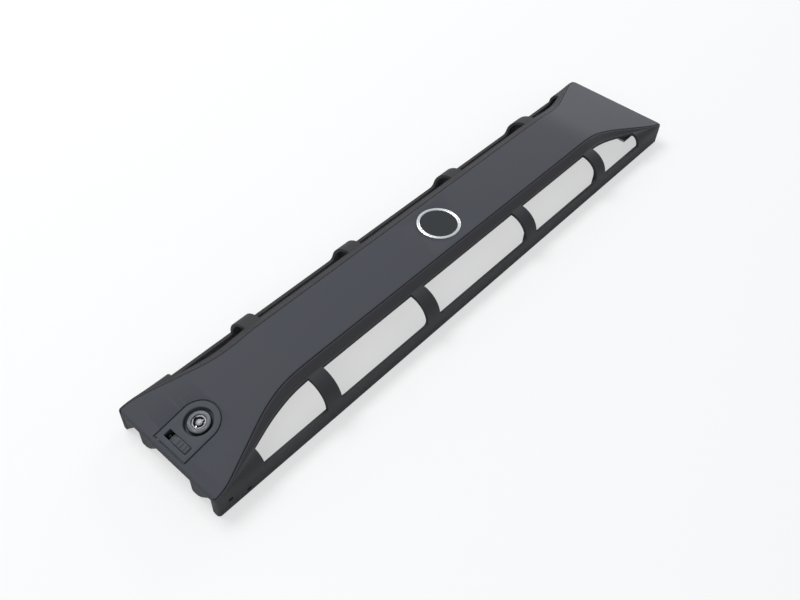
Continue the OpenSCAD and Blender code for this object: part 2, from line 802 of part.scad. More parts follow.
grip_count = 3;
grip_w = 0.8;
grip_h = 0.4;
grip_inset = 0.6;
grip_pitch = button_l / (grip_count + 0.8);
shelf_drop = 1.2;
module release_slider() {
    w = slot_w - 2 * latch_gap;
    color("#2f333c") on_left_facet() translate([-slot_x, 0, 0]) {
        difference() {
            translate([-slider_w / 2, slider_from, slider_back]) cube([slider_w, slider_l, slider_t]);
            for (p = rivet_places) translate([p.x + slot_x, p.y, slider_back - 1])
                cylinder(d = rivet_d + rivet_gap, h = rivet_in + 1.2);
        }
        // Button, with grip ridges across it, and the low shelf above it
        translate([-w / 2, button_from, slider_top - e])
            cube([w, button_l, button_proud - slider_top + e]);
        for (i = [1 : grip_count])
            translate([-w / 2 + grip_inset, button_from + i * grip_pitch - grip_w, button_proud - e])
                cube([w - 2 * grip_inset, grip_w, grip_h]);
        translate([-w / 2, button_from + button_l - e, slider_top - e])
            cube([w, shelf_to - button_from - button_l, esc_t + latch_gap - shelf_drop]);
    }
}

rivet_d = 1.6;
rivet_gap = 0.1;
rivet_in = 1.2;
rivet_apart = 4;
hook_flat_l = 7;
hook_tip_t = 3;
hook_ramp = [1.2, 2.2];
stud_hole_gap = 0.1;
rivet_places = [for (side = [-1, 1])
    [-slot_x + side * rivet_apart / 2, leg_y + hook_flat_l * 0.6]];
// Bent steel strip: flat under the slider, a leg down through the cover and a tip towards -Y
module latch_hook() {
    back = slider_back - hook_t;
    color("#b9bbbe") on_left_facet() difference() {
        union() {
            translate([-slot_x - leg_w / 2, leg_y, back]) cube([leg_w, hook_flat_l, hook_t]);
            translate([-slot_x - leg_w / 2, leg_y, -hook_depth])
                cube([leg_w, hook_t, hook_depth + back + e]);
            translate([-slot_x + leg_w / 2, leg_y + e, -hook_depth]) rotate([90, 0, -90])
                linear_extrude(leg_w) polygon([[0, 0], [hook_ramp.x, 0], [hook_tip, hook_ramp.y],
                    [hook_tip, hook_tip_t], [0, hook_tip_t]]);
        }
        for (p = rivet_places) translate([p.x, p.y, back - 1])
            cylinder(d = rivet_d + rivet_gap, h = hook_t + 2);
        translate([-slot_x, leg_y - 1, spring_z]) rotate([-90, 0, 0])
            cylinder(d = stud_foot_d + stud_hole_gap, h = hook_t + 2);
    }
}

rivet_head_t = 0.3;
module hook_rivets() {
    color("#9a9c9f") at_left_facet(rivet_places) translate([0, 0, slider_back - hook_t]) {
        translate([0, 0, -rivet_head_t]) cylinder(d = rivet_d + 1, h = rivet_head_t);
        translate([0, 0, -e]) cylinder(d = rivet_d, h = hook_t + rivet_in + e);
    }
}

stud_foot_d = 1.2;
module spring_stud() {
    color("#9a9c9f") on_left_facet() translate([-slot_x, leg_y, spring_z]) rotate([-90, 0, 0]) {
        cylinder(d = stud_foot_d, h = hook_t + e);
        translate([0, 0, hook_t]) cylinder(d = stub_d, h = stub_l);
    }
}

// Compression spring from the hook's leg to the upper wall of the housing
spring_from = leg_y + hook_t + 0.1;
spring_to = inner_y - 0.1;
wire_sides = 6;
turn_steps = 14;
module latch_spring() {
    steps = spring_turns * turn_steps;
    coil_r = (spring_d - spring_wire) / 2;
    run = spring_to - spring_from - spring_wire;
    rings = [for (i = [0 : steps]) let (a = -360 * i / turn_steps, y = run * i / steps)
        [for (j = [0 : wire_sides - 1]) let (b = 360 * j / wire_sides,
            r = coil_r + spring_wire / 2 * cos(b))
            [r * cos(a), y + spring_wire / 2 * sin(b), r * sin(a)]]];
    color("#c2c4c6") on_left_facet()
        translate([-slot_x, spring_from + spring_wire / 2, spring_z]) loft(rings);
}

// Sheet with two hooks behind the right facet
module hook_plate() {
    to_x = end_x - plate_inset;
    from_x = to_x - plate_l;
    tip_x = end_x - 0.6;
    color("#b9bbbe") difference() {
        union() {
            translate([from_x, -plate_w / 2, plate_z]) cube([plate_l, plate_w, sheet_t]);
            both_sides() translate([0, claw_y - claw_w / 2, 0]) {
                translate([to_x - sheet_t, 0, 1]) cube([sheet_t, claw_w, plate_z]);
                translate([to_x - sheet_t, 0, 1]) cube([tip_x - to_x + sheet_t, claw_w, sheet_t]);
            }
        }
        for (y = [-post_y, post_y]) translate([post_x, y, plate_z - 1])
            cylinder(d = shank_d + hole_gap, h = sheet_t + 2);
        translate([from_x + plate_hole_d, 0, plate_z - 1])
            cylinder(d = plate_hole_d, h = sheet_t + 2);
    }
}

module hook_plate_screws() {
    color("#8d9094") for (y = [-post_y, post_y]) translate([post_x, y, plate_z])
        screw(sheet_t + thread_l);
}

frame();
front_panel();
badge_ring();
badge_disc();
badge_push_nuts();
lock_housing();
housing_screws();
latch_cover();
latch_cover_screws();
lock_barrel();
lock_washer();
lock_nut();
lock_plug();
lock_pins();
lock_cam();
cam_washer();
cam_screw();
release_slider();
latch_hook();
hook_rivets();
spring_stud();
latch_spring();
hook_plate();
hook_plate_screws();
panel_screws();
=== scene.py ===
"""Server front bezel: the dressed model of a moulded 2U bezel with a key lock and a release latch.

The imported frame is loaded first. Each operator below makes one piece, or one group of like
pieces, in the frame's own coordinates. Sizes are written in millimetres and scaled once.
"""

import json
import math

import bmesh
import bpy
from mathutils import Matrix, Vector


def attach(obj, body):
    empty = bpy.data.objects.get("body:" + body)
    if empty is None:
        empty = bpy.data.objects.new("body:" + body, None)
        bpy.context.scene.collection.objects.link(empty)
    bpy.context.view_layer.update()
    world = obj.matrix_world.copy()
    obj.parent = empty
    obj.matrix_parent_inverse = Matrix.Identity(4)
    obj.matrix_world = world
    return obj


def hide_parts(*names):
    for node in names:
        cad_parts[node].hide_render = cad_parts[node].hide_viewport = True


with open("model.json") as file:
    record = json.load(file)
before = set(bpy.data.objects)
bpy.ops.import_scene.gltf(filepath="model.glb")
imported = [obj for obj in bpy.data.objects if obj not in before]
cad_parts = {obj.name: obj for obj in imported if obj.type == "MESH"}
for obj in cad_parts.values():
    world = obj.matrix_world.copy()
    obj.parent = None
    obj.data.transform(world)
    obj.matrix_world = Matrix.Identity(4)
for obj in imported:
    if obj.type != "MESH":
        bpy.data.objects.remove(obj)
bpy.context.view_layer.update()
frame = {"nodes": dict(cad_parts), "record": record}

bl_info = {
    "name": "Server Front Bezel",
    "version": (1, 0, 0),
    "blender": (4, 5, 0),
    "location": "View3D > Sidebar > Bezel",
    "description": "Moulded front bezel with windows, a badge, a key lock and a sprung latch",
    "category": "Object",
}

MM = 0.001


# ---------------------------------------------------------------- settings

class BezelSizes(bpy.types.PropertyGroup):
    """Sizes that can be set in the sidebar."""
    window_round: bpy.props.FloatProperty(
        name="Window rounding", description="Radius of the windows' corners at the rails",
        default=0.004, unit="LENGTH")


class BezelFinishes(bpy.types.PropertyGroup):
    """Colours and grain of the bezel's finishes."""
    panel_colour: bpy.props.FloatVectorProperty(
        name="Panel colour", description="Satin plastic of the cover panel",
        subtype="COLOR", size=3, default=(0.0190, 0.0235, 0.0335))
    frame_colour: bpy.props.FloatVectorProperty(
        name="Frame colour", description="Plastic of the moulded frame",
        subtype="COLOR", size=3, default=(0.0100, 0.0110, 0.0140))
    ring_colour: bpy.props.FloatVectorProperty(
        name="Ring colour", description="Satin metal of the badge ring",
        subtype="COLOR", size=3, default=(0.82, 0.83, 0.85))
    grain_size: bpy.props.FloatProperty(
        name="Grain size", description="Size of the moulded grain",
        default=0.0007, unit="LENGTH")
    grain_depth: bpy.props.FloatProperty(
        name="Grain depth", description="Strength of the moulded grain",
        default=0.22, min=0.0, max=1.0)


class BezelStage(bpy.types.PropertyGroup):
    """Floor, lamps and camera."""
    floor_size: bpy.props.FloatProperty(
        name="Floor size", description="Width of the floor", default=8.0, unit="LENGTH")
    key_power: bpy.props.FloatProperty(
        name="Key power", description="Power of the overhead softbox in watts", default=21.0)
    fill_power: bpy.props.FloatProperty(
        name="Fill power", description="Power of the side softbox in watts", default=9.0)
    world_level: bpy.props.FloatProperty(
        name="World level", description="Strength of the surroundings", default=0.45)
    lens: bpy.props.FloatProperty(
        name="Lens", description="Focal length on a 36 mm sensor", default=37.936)


# ---------------------------------------------------------------- node helpers

def node_of(tree, kind, place=(0, 0), **values):
    """A node of the tree, with attributes given by name and sockets by their label."""
    n = tree.nodes.new(kind)
    n.location = place
    for key, value in values.items():
        if hasattr(n, key):
            setattr(n, key, value)
        else:
            n.inputs[key.replace("_", " ")].default_value = value
    return n


def group_tree(name, inputs, outputs):
    """A shader node group with named sockets, and its input and output nodes."""
    tree = bpy.data.node_groups.new(name, "ShaderNodeTree")
    for label, kind, default in inputs:
        socket = tree.interface.new_socket(label, in_out="INPUT", socket_type=kind)
        if default is not None:
            socket.default_value = default
    for label, kind in outputs:
        tree.interface.new_socket(label, in_out="OUTPUT", socket_type=kind)
    return tree, tree.nodes.new("NodeGroupInput"), tree.nodes.new("NodeGroupOutput")


def grain_group():
    """Moulded grain: a fine height and a broad, faint change of tone over the surface."""
    name = "Moulded Grain"
    if name in bpy.data.node_groups:
        return bpy.data.node_groups[name]
    tree, inlet, outlet = group_tree(
        name,
        [("Vector", "NodeSocketVector", None), ("Grain Scale", "NodeSocketFloat", 1400.0),
         ("Cloud Scale", "NodeSocketFloat", 14.0)],
        [("Height", "NodeSocketFloat"), ("Cloud", "NodeSocketFloat")])
    link = tree.links.new
    fine = node_of(tree, "ShaderNodeTexNoise", Detail=2.0, Roughness=0.55)
    cell = node_of(tree, "ShaderNodeTexVoronoi", feature="SMOOTH_F1", Smoothness=0.6)
    cloud = node_of(tree, "ShaderNodeTexNoise", Detail=4.0, Roughness=0.6)
    mix = node_of(tree, "ShaderNodeMix", data_type="FLOAT")
    mix.inputs[0].default_value = 0.45
    for texture in (fine, cell):
        link(inlet.outputs["Vector"], texture.inputs["Vector"])
        link(inlet.outputs["Grain Scale"], texture.inputs["Scale"])
    link(inlet.outputs["Vector"], cloud.inputs["Vector"])
    link(inlet.outputs["Cloud Scale"], cloud.inputs["Scale"])
    link(fine.outputs["Fac"], mix.inputs[2])
    link(cell.outputs["Distance"], mix.inputs[3])
    smooth = node_of(tree, "ShaderNodeMapRange", From_Min=0.32, From_Max=0.68)
    link(cloud.outputs["Fac"], smooth.inputs["Value"])
    link(mix.outputs[0], outlet.inputs["Height"])
    link(smooth.outputs["Result"], outlet.inputs["Cloud"])
    return tree


def handling_group():
    """Handling marks: sparse fine scratches and soft rubbed patches, as masks."""
    name = "Handling Marks"
    if name in bpy.data.node_groups:
        return bpy.data.node_groups[name]
    tree, inlet, outlet = group_tree(
        name,
        [("Vector", "NodeSocketVector", None), ("Patch Scale", "NodeSocketFloat", 30.0),
         ("Scratch Scale", "NodeSocketFloat", 90.0)],
        [("Rubbed", "NodeSocketFloat"), ("Scratch", "NodeSocketFloat")])
    link = tree.links.new
    patch = node_of(tree, "ShaderNodeTexNoise", Detail=5.0, Roughness=0.65)
    link(inlet.outputs["Vector"], patch.inputs["Vector"])
    link(inlet.outputs["Patch Scale"], patch.inputs["Scale"])
    rubbed = node_of(tree, "ShaderNodeMapRange", From_Min=0.52, From_Max=0.74)
    link(patch.outputs["Fac"], rubbed.inputs["Value"])
    stretch = node_of(tree, "ShaderNodeMapping")
    stretch.inputs["Scale"].default_value = (1.0, 14.0, 3.0)
    stretch.inputs["Rotation"].default_value = (0.0, 0.0, 0.6)
    link(inlet.outputs["Vector"], stretch.inputs["Vector"])
    line = node_of(tree, "ShaderNodeTexNoise", Detail=3.0, Roughness=0.5)
    link(stretch.outputs["Vector"], line.inputs["Vector"])
    link(inlet.outputs["Scratch Scale"], line.inputs["Scale"])
    thin = node_of(tree, "ShaderNodeMapRange", From_Min=0.71, From_Max=0.78)
    link(line.outputs["Fac"], thin.inputs["Value"])
    link(rubbed.outputs["Result"], outlet.inputs["Rubbed"])
    link(thin.outputs["Result"], outlet.inputs["Scratch"])
    return tree


def turned_group():
    """Turned metal: fine rings round an axis, as a height and a tone."""
    name = "Turned Lines"
    if name in bpy.data.node_groups:
        return bpy.data.node_groups[name]
    tree, inlet, outlet = group_tree(
        name,
        [("Vector", "NodeSocketVector", None), ("Line Scale", "NodeSocketFloat", 2600.0)],
        [("Height", "NodeSocketFloat"), ("Tone", "NodeSocketFloat")])
    link = tree.links.new
    flat = node_of(tree, "ShaderNodeVectorMath", operation="MULTIPLY")
    flat.inputs[1].default_value = (1.0, 1.0, 0.0)
    link(inlet.outputs["Vector"], flat.inputs[0])
    reach = node_of(tree, "ShaderNodeVectorMath", operation="LENGTH")
    link(flat.outputs["Vector"], reach.inputs[0])
    line = node_of(tree, "ShaderNodeTexNoise", noise_dimensions="1D", Detail=2.0)
    link(reach.outputs["Value"], line.inputs["W"])
    link(inlet.outputs["Line Scale"], line.inputs["Scale"])
    link(line.outputs["Fac"], outlet.inputs["Height"])
    link(line.outputs["Fac"], outlet.inputs["Tone"])
    return tree


def placed(tree, group, centre=(0, 0, 0), turn=(0, 0, 0), **values):
    """The group in a material, on Object coordinates centred and turned by a Mapping node."""
    where = node_of(tree, "ShaderNodeTexCoord", (-1100, 0))
    shift = node_of(tree, "ShaderNodeMapping", (-900, 0), vector_type="TEXTURE")
    shift.inputs["Location"].default_value = centre
    shift.inputs["Rotation"].default_value = turn
    tree.links.new(where.outputs["Object"], shift.inputs["Vector"])
    n = tree.nodes.new("ShaderNodeGroup")
    n.node_tree = group
    n.location = (-700, 0)
    tree.links.new(shift.outputs["Vector"], n.inputs["Vector"])
    for key, value in values.items():
        n.inputs[key.replace("_", " ")].default_value = value
    return n


def blended(tree, mask, dark, light):
    """A colour between two by a mask."""
    mix = node_of(tree, "ShaderNodeMix", (-400, 200), data_type="RGBA")
    mix.inputs[6].default_value = (*dark, 1.0)
    mix.inputs[7].default_value = (*light, 1.0)
    tree.links.new(mask, mix.inputs[0])
    return mix


def ranged(tree, mask, low, high):
    """A number between two by a mask."""
    n = node_of(tree, "ShaderNodeMapRange", (-400, -100), To_Min=low, To_Max=high)
    tree.links.new(mask, n.inputs["Value"])
    return n.outputs["Result"]


def bumped(tree, height, shader, strength, distance):
    bump = node_of(tree, "ShaderNodeBump", (-200, -300), Strength=strength, Distance=distance)
    tree.links.new(height, bump.inputs["Height"])
    tree.links.new(bump.outputs["Normal"], shader.inputs["Normal"])


def blank_material(name, **values):
    """A material with its Principled shader, whose plain sockets are given by name."""
    m = bpy.data.materials.get(name)
    if m:
        return m, None, None
    m = bpy.data.materials.new(name)
    m.use_nodes = True
    shader = m.node_tree.nodes["Principled BSDF"]
    for key, value in values.items():
        shader.inputs[key.replace("_", " ")].default_value = value
    return m, m.node_tree, shader


def moulded_plastic(name, colour, rough, size, depth, lift=1.5, specular=0.5):
    """Moulded plastic with grain, clouded tone, rubbed patches and a few scratches."""
    m, tree, shader = blank_material(name, Specular_IOR_Level=specular)
    if tree is None:
        return m
    link = tree.links.new
    grain = placed(tree, grain_group(), Grain_Scale=1.0 / size)
    marks = placed(tree, handling_group())
    light = tuple(c * lift for c in colour)
    tone = blended(tree, grain.outputs["Cloud"], tuple(c * 0.92 for c in colour),
                   tuple(c * 1.08 for c in colour))
    worn = node_of(tree, "ShaderNodeMix", (-200, 200), data_type="RGBA")
    worn.inputs[7].default_value = (*light, 1.0)
    faint = node_of(tree, "ShaderNodeMath", (-400, 400), operation="MULTIPLY")
    faint.inputs[1].default_value = 0.5
    link(marks.outputs["Scratch"], faint.inputs[0])
    link(faint.outputs[0], worn.inputs[0])
    link(tone.outputs[2], worn.inputs[6])
    link(worn.outputs[2], shader.inputs["Base Color"])
    link(ranged(tree, marks.outputs["Rubbed"], rough + 0.03, rough - 0.05),
         shader.inputs["Roughness"])
    bumped(tree, grain.outputs["Height"], shader, depth, size * 0.35)
    return m


def turned_metal(name, colour, rough, centre, turn=(0, 0, 0), metallic=1.0, strength=0.12):
    """Metal turned on a lathe, or a spun face, with fine rings round its own axis."""
    m, tree, shader = blank_material(name, Metallic=metallic)
    if tree is None:
        return m
    link = tree.links.new
    rings = placed(tree, turned_group(), centre, turn)
    marks = placed(tree, handling_group(), Patch_Scale=160.0, Scratch_Scale=400.0)
    tone = blended(tree, rings.outputs["Tone"], tuple(c * 0.86 for c in colour), colour)
    link(tone.outputs[2], shader.inputs["Base Color"])
    link(ranged(tree, marks.outputs["Rubbed"], rough + 0.05, rough - 0.04),
         shader.inputs["Roughness"])
    bumped(tree, rings.outputs["Height"], shader, strength, 0.00005)
    return m


def plated_steel(name, colour, rough, cloud_scale=260.0):
    """Zinc or nickel plate: clouded tone, uneven gloss and a faint skin of grain."""
    m, tree, shader = blank_material(name, Metallic=1.0)
    if tree is None:
        return m
    link = tree.links.new
    grain = placed(tree, grain_group(), Grain_Scale=3200.0, Cloud_Scale=cloud_scale)
    marks = placed(tree, handling_group(), Patch_Scale=120.0, Scratch_Scale=300.0)
    tone = blended(tree, grain.outputs["Cloud"], tuple(c * 0.82 for c in colour), colour)
    link(tone.outputs[2], shader.inputs["Base Color"])
    link(ranged(tree, marks.outputs["Rubbed"], rough + 0.08, rough - 0.05),
         shader.inputs["Roughness"])
    bumped(tree, grain.outputs["Height"], shader, 0.08, 0.00004)
    return m


# ---------------------------------------------------------------- finishes

LOCK_CENTRE = (-0.2093, 0.0, 0.022546)
FACET_TILT = math.atan(17.1 / 79)
FACET_TURN = (0.0, -FACET_TILT, 0.0)


def finish_of(kind):
    """The material of a record slot, made when it is first asked for."""
    looks = bpy.context.scene.bezel_finishes
    size, depth = looks.grain_size, looks.grain_depth
    panel, body = tuple(looks.panel_colour), tuple(looks.frame_colour)
    makers = {
        "frame_plastic": lambda n: moulded_plastic(n, body, 0.46, size, depth),
        "panel_plastic": lambda n: moulded_plastic(n, panel, 0.40, size, depth),
        "housing_plastic": lambda n: moulded_plastic(
            n, tuple(c * 0.9 for c in panel), 0.44, size, depth),
        "button_plastic": lambda n: moulded_plastic(
            n, tuple(c * 1.1 for c in panel), 0.36, size * 0.8, depth * 0.7),
        "badge_plastic": lambda n: turned_metal(
            n, (0.011, 0.0125, 0.016), 0.30, (0, 0, 0), metallic=0.0, strength=0.10),
        "ring_metal": lambda n: turned_metal(n, tuple(looks.ring_colour), 0.30, (0, 0, 0)),
        "lock_metal": lambda n: turned_metal(
            n, (0.060, 0.063, 0.070), 0.34, LOCK_CENTRE, FACET_TURN),
        "plug_metal": lambda n: turned_metal(
            n, (0.16, 0.165, 0.175), 0.30, LOCK_CENTRE, FACET_TURN),
        "pin_steel": lambda n: plated_steel(n, (0.66, 0.67, 0.70), 0.22),
        "nut_brass": lambda n: turned_metal(
            n, (0.70, 0.56, 0.30), 0.30, LOCK_CENTRE, FACET_TURN),
        "zinc_steel": lambda n: plated_steel(n, (0.62, 0.63, 0.66), 0.34),
        "screw_steel": lambda n: plated_steel(n, (0.40, 0.41, 0.43), 0.32),
        "rivet_steel": lambda n: plated_steel(n, (0.55, 0.56, 0.58), 0.30),
        "spring_steel": lambda n: plated_steel(n, (0.62, 0.62, 0.64), 0.22),
    }
    return makers[kind](kind)


def dressed(node, material):
    """Gives a CAD node that stays a procedural material."""
    mesh = frame["nodes"][node].data
    mesh.materials.clear()
    mesh.materials.append(material)


class BEZEL_OT_finishes(bpy.types.Operator):
    """Give every carried CAD node its procedural finish"""
    bl_idname = "bezel.finishes"
    bl_label = "Finishes"

    def execute(self, context):
        for part in frame["record"]["subparts"]:
            dressed(part["node"], finish_of(part["material_slot"]))
        return {"FINISHED"}


# ---------------------------------------------------------------- the moulding's own curves

# Named lengths of the moulding, in millimetres, as in the CAD source
END_X = 234.0
HALF_H = 43.5
BAND_Z = 34.3
FACE_SLOPE = 17.1 / 79.0
BEND_X = END_X - 79.0
BEND_SOFT = 12.0
FLARE_X = END_X - 61.4
FLARE_SOFT = 16.0
FULL_X = END_X - 7.9
FULL_SOFT = 6.0
BAND_HALF = 20.8
LIP_W = 0.9
LIP_DROP = 0.6
FLARE_SLOPE = (HALF_H - LIP_W - 0.5 - BAND_HALF) / (FULL_X - FLARE_X)
BEVEL_W = 5.0
BEVEL_DROP = 3.4
RAIL_Z = 12.9
WALL_T = 2.2
PANEL_T = 1.8
DECK_T = 1.8
CORNER_R = 2.0
STRUT_X = (53.5, 144.0)
STRUT_HALF = 5.75
END_WINDOW_X = END_X - 34.6
WINDOW_LIP = 0.6
RIB_T = 1.8
RIB_D = 4.0
NOTCH_Z = 13.2
LOBE_Z = 1.6
JOIN = 0.3
LOCK_X = -209.3
ESC_R = 12.8
ESC_L = 21.6
BADGE_R = 15.2
STUD_X = 8.0


def ramp(d, soft):
    """A kink between a level line and a slope of 1, softened over soft on either side."""
    if abs(d) < soft:
        return (d + soft) ** 2 / (4 * soft)
    return max(d, 0.0)


def face_z(x):
    return BAND_Z - FACE_SLOPE * ramp(abs(x) - BEND_X, BEND_SOFT)


def seat_y(x):
    return BAND_HALF + FLARE_SLOPE * (
        ramp(abs(x) - FLARE_X, FLARE_SOFT) - ramp(abs(x) - FULL_X, FULL_SOFT))


def corner_in(x, end):
    """How far the rounded upright corners have drawn in at x."""
    past = abs(x) - end + CORNER_R
    return 0.0 if past <= 0 else CORNER_R - math.sqrt(max(0.0, CORNER_R ** 2 - past ** 2))


def bevel_share(x):
    return (HALF_H - seat_y(x) - LIP_W) / (HALF_H - BAND_HALF - LIP_W)


def bevel_y(x):
    return seat_y(x) + LIP_W + BEVEL_W * bevel_share(x)


def bevel_z(x):
    return face_z(x) - LIP_DROP - BEVEL_DROP * bevel_share(x)


def stations(end, fine=2.6, corner_steps=5):
    """Places along the bezel where a loft has a section, closer where it curves."""
    straight = BEND_X - BEND_SOFT - 2
    count = math.ceil((end - CORNER_R - straight) / fine)
    half = [straight * i / 5 for i in range(1, 5)]
    half += [straight + (end - CORNER_R - straight) * i / count for i in range(count + 1)]
    half += [end - CORNER_R + CORNER_R * math.sin(math.pi / 2 * i / corner_steps)
             for i in range(1, corner_steps + 1)]
    return [-x for x in reversed(half)] + [0.0] + half


def eased(points, radii, steps=4):
    """The closed outline with chosen corners rounded, always with as many points."""
    out = []
    for i, p in enumerate(points):
        if not radii[i]:
            out.append(p)
            continue
        p, a, b = Vector(p), Vector(points[i - 1]), Vector(points[(i + 1) % len(points)])
        arms = [(q - p).normalized() * min(radii[i], 0.45 * (q - p).length) for q in (a, b)]
        for k in range(steps + 1):
            t = k / steps
            out.append(tuple(p + arms[0] * (1 - t) ** 2 + arms[1] * t ** 2))
    return out


def outer_side(x, arc_steps):
    """One side of the frame's section with the radius of each corner: rail, strut, bevel, lip."""
    side = [((HALF_H, 0.0), 0.4)]
    wide, high = HALF_H - bevel_y(x), bevel_z(x) - RAIL_Z
    for i in range(arc_steps + 1):
        a = math.pi / 2 * i / arc_steps
        side.append(((bevel_y(x) + wide * math.cos(a), RAIL_Z + high * math.sin(a)),
                     0.7 if i == arc_steps else 0.0))
    top = face_z(x) - LIP_DROP
    side += [((seat_y(x) + LIP_W, top), 0.5), ((seat_y(x), top), 0.25),
             ((seat_y(x), face_z(x) - PANEL_T), 0.0)]
    return side


def inner_side(x, depth, arc_steps):
    """The inside of the same section, depth below its outer surface."""
    side = [(HALF_H - depth, 0.0)]
    wide, high = HALF_H - bevel_y(x) - depth, bevel_z(x) - RAIL_Z - depth
    for i in range(arc_steps + 1):
        a = math.pi / 2 * i / arc_steps
        side.append((min(bevel_y(x) + wide * math.cos(a), HALF_H - depth),
                     RAIL_Z + high * math.sin(a)))
    side.append((min(seat_y(x), HALF_H - depth) - 1,
                 face_z(x) - PANEL_T - DECK_T - depth + WALL_T))
    return side


def both(side):
    """A side and its mirror image, from the +Y rim over the top to the -Y rim."""
    return side + [(-y, z) for y, z in reversed(side)]


# ---------------------------------------------------------------- mesh helpers

def mesh_object(name, bm, sharp=30.0):
    """A new object from a bmesh in millimetres, smooth except at its sharp edges."""
    bmesh.ops.recalc_face_normals(bm, faces=bm.faces)
    bmesh.ops.scale(bm, vec=(MM, MM, MM), verts=bm.verts)
    mesh = bpy.data.meshes.new(name)
    bm.to_mesh(mesh)
    bm.free()
    o = bpy.data.objects.new(name, mesh)
    bpy.context.scene.collection.objects.link(o)
    smooth(mesh, sharp)
    return o


def smooth(mesh, sharp):
    mesh.shade_smooth()
    mesh.set_sharp_from_angle(angle=math.radians(sharp))


def loft(bm, rings):
    """Skin over rings of points, closed at both ends."""
    rows = [[bm.verts.new(p) for p in ring] for ring in rings]
    count = len(rows[0])
    for a, b in zip(rows, rows[1:]):
        for j in range(count):
            k = (j + 1) % count
            bm.faces.new((a[j], a[k], b[k], b[j]))
    bm.faces.new(list(reversed(rows[0])))
    bm.faces.new(rows[-1])


def slab(bm, outline, x, thick):
    """An outline in Y and Z, drawn out along X about x."""
    loft(bm, [[(x + s * thick / 2, y, z) for y, z in outline] for s in (-1, 1)])


def prism(bm, outline, low, high, place=None):
    """An outline in X and Y, drawn out from low to high, then placed."""
    place = place or Matrix.Identity(4)
    loft(bm, [[place @ Vector((x, y, z)) for x, y in outline] for z in (low, high)])


def disc(radius, centre=(0, 0), count=48):
    return [(centre[0] + radius * math.cos(math.tau * i / count),
             centre[1] + radius * math.sin(math.tau * i / count)) for i in range(count)]


def lathe(bm, profile, place=None, count=128):
    """A closed profile in radius and height, turned round the Z axis and placed."""
    place = place or Matrix.Identity(4)
    rows = []
    for i in range(count):
        a = math.tau * i / count
        rows.append([bm.verts.new(place @ Vector((r * math.cos(a), r * math.sin(a), z)))
                     for r, z in profile])
    for i in range(count):
        a, b = rows[i], rows[(i + 1) % count]
        for j in range(len(profile)):
            k = (j + 1) % len(profile)
            bm.faces.new((a[j], a[k], b[k], b[j]))


def on_facet(side=-1):
    """The local frame of a facet: origin at the lock's centre, Z outwards."""
    place = Matrix.Translation((LOCK_X, 0, face_z(LOCK_X))) @ Matrix.Rotation(
        -FACET_TILT, 4, "Y")
    return place if side < 0 else Matrix.Scale(-1, 4, (1, 0, 0)) @ place


def escutcheon(grow, steps=40):
    """The D outline round the lock, widened by grow."""
    r = ESC_R + grow
    arc = [(r * math.cos(a), r * math.sin(a)) for a in
           (math.pi * (i / steps - 0.5) for i in range(steps + 1))]
    return arc + [(-ESC_L - grow, r), (-ESC_L - grow, -r)]


def cut(target, cutters):
    """Takes the cutters' shapes, a bmesh in millimetres, out of the target for good."""
    tool = mesh_object("cutter", cutters)
    change = target.modifiers.new("cut", "BOOLEAN")
    change.operation, change.solver, change.object = "DIFFERENCE", "EXACT", tool
    settled(target)
    bpy.data.objects.remove(tool)


def settled(o, sharp=30.0):
    """Replaces the object's mesh by its evaluated one and drops its modifiers."""
    graph = bpy.context.evaluated_depsgraph_get()
    mesh = bpy.data.meshes.new_from_object(o.evaluated_get(graph))
    o.modifiers.clear()
    old, o.data = o.data, mesh
    mesh.name = o.name
    bpy.data.meshes.remove(old)
    smooth(mesh, sharp)


def softened(node, radius, segments=2, sharp=32.0):
    """A copy of a CAD node with its edges rounded, which stands for the node."""
    bm = bmesh.new()
    bm.from_mesh(frame["nodes"][node].data)
    bmesh.ops.remove_doubles(bm, verts=bm.verts, dist=2e-6)
    bmesh.ops.dissolve_limit(bm, angle_limit=math.radians(0.6), verts=bm.verts, edges=bm.edges)
    edges = [e for e in bm.edges if len(e.link_faces) == 2
             and e.calc_face_angle() > math.radians(sharp)]
    bmesh.ops.bevel(bm, geom=edges, offset=radius * MM, offset_type="OFFSET",
                    segments=segments, profile=0.5, affect="EDGES", clamp_overlap=True)
    mesh = bpy.data.meshes.new(node + "_soft")
    bm.to_mesh(mesh)
    bm.free()
    o = bpy.data.objects.new(node + "_soft", mesh)
    bpy.context.scene.collection.objects.link(o)
    smooth(mesh, 40.0)
    return o


def finished(o, slot, body, *nodes):
    """Gives a piece its finish, its body and the CAD nodes that it stands for."""
    o.data.materials.clear()
    o.data.materials.append(finish_of(slot))
    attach(o, body)
    if nodes:
        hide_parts(*nodes)


# ---------------------------------------------------------------- pieces

def boss_places():
    """Where the screws stand: on the band, round the lock and on the other facet."""
    band = [Matrix.Translation((x, y, BAND_Z)) for x in (-98, -26, 26, 98)
            for y in (-10.5, 10.5)]
    ears = [on_facet() @ Matrix.Translation((x, y, 0)) for x in (-15.5, 5.5)
            for y in (-18.0, 18.0)]
    far = [on_facet(1) @ Matrix.Translation((5, y, 0)) for y in (-24, 24)]
    return band, ears, far


